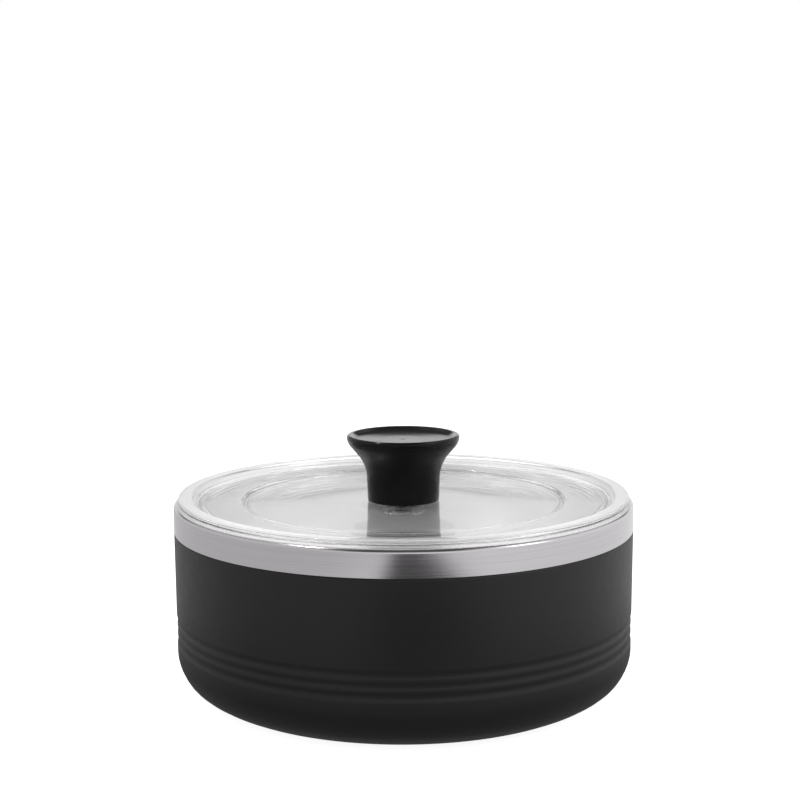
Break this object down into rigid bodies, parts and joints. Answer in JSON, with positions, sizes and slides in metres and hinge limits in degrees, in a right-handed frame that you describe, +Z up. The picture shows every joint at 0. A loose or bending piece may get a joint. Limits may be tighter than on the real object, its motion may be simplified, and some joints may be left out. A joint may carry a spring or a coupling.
{
  "type": "insulated casserole",
  "caption": "Round double-walled steel serving pot with a grooved black shell, a brushed steel rim band and a clear lift-off lid with a waisted black knob.",
  "frame": {"origin": "centre of the flat ring that the pot stands on, at table height", "axes": "+Z up along the pot's axis, towards the knob; the pot is round, so +X and +Y are any two sides, with -Y as the front"},
  "size_m": [0.231, 0.231, 0.1294],
  "materials": {
    "powder_coat": "satin",
    "band_steel": "satin",
    "bowl_steel": "satin",
    "foam": "matte",
    "plug_plastic": "matte",
    "clear_plastic": "gloss",
    "knob_plastic": "satin",
    "insert_brass": "satin",
    "screw_steel": "satin",
    "washer_rubber": "matte"
  },
  "bodies": {
    "pot": {"outer_shell": "powder_coat", "inner_bowl": "bowl_steel", "rim_band": "band_steel", "insulation": "foam", "foam_plug": "plug_plastic"},
    "lid": {"lid_cover": "clear_plastic", "knob": "knob_plastic", "knob_insert": "insert_brass", "knob_screw": "screw_steel", "screw_washer": "washer_rubber"}
  },
  "joints": [
    {"name": "lid_lift", "type": "slide", "parent": "pot", "child": "lid", "axis": [0, 0, 1], "range_m": [0, 0.15]}
  ]
}
